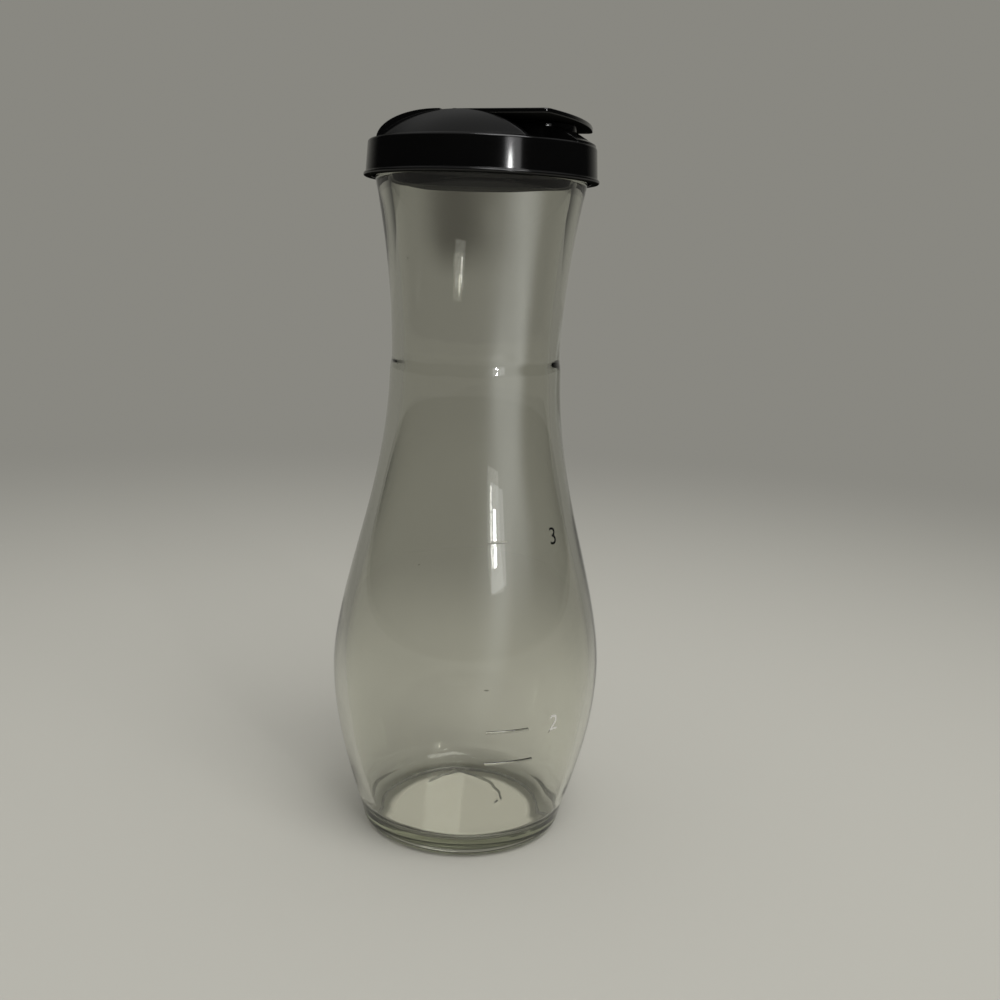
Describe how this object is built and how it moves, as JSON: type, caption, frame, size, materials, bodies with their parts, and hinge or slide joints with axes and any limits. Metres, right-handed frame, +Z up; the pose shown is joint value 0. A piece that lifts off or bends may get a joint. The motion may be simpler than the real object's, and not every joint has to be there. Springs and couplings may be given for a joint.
{
  "type": "salad dressing cruet",
  "caption": "Waisted clear glass dressing bottle with raised fill marks, a push-on black cap with a round pour spout, and a flip cover hinged across the cap.",
  "frame": {"origin": "centre of the base, on the plane that the bearing ring stands on", "axes": "+Z up the bottle's axis, +X from the axis towards the pour spout, +Y across the cap along the hinge"},
  "size_m": [0.0738, 0.0738, 0.1916],
  "materials": {
    "clear_glass": "clear pressed glass, gloss",
    "soft_black": "soft, matt",
    "cap_black": "moulded gloss",
    "cover_black": "moulded gloss"
  },
  "bodies": {
    "bottle": {"bottle": "clear_glass"},
    "cap": {"cap": "cap_black", "stopper": "soft_black"},
    "flip_cover": {"flip_cover": "cover_black"}
  },
  "joints": [
    {"name": "cap_lift", "type": "slide", "parent": "bottle", "child": "cap", "axis": [0, 0, 1], "range_m": [0, 0.04]},
    {"name": "cover_hinge", "type": "hinge", "parent": "cap", "child": "flip_cover", "pos_m": [0, 0, 0.189], "axis": [0, -1, 0], "range_deg": [0, 105]}
  ]
}
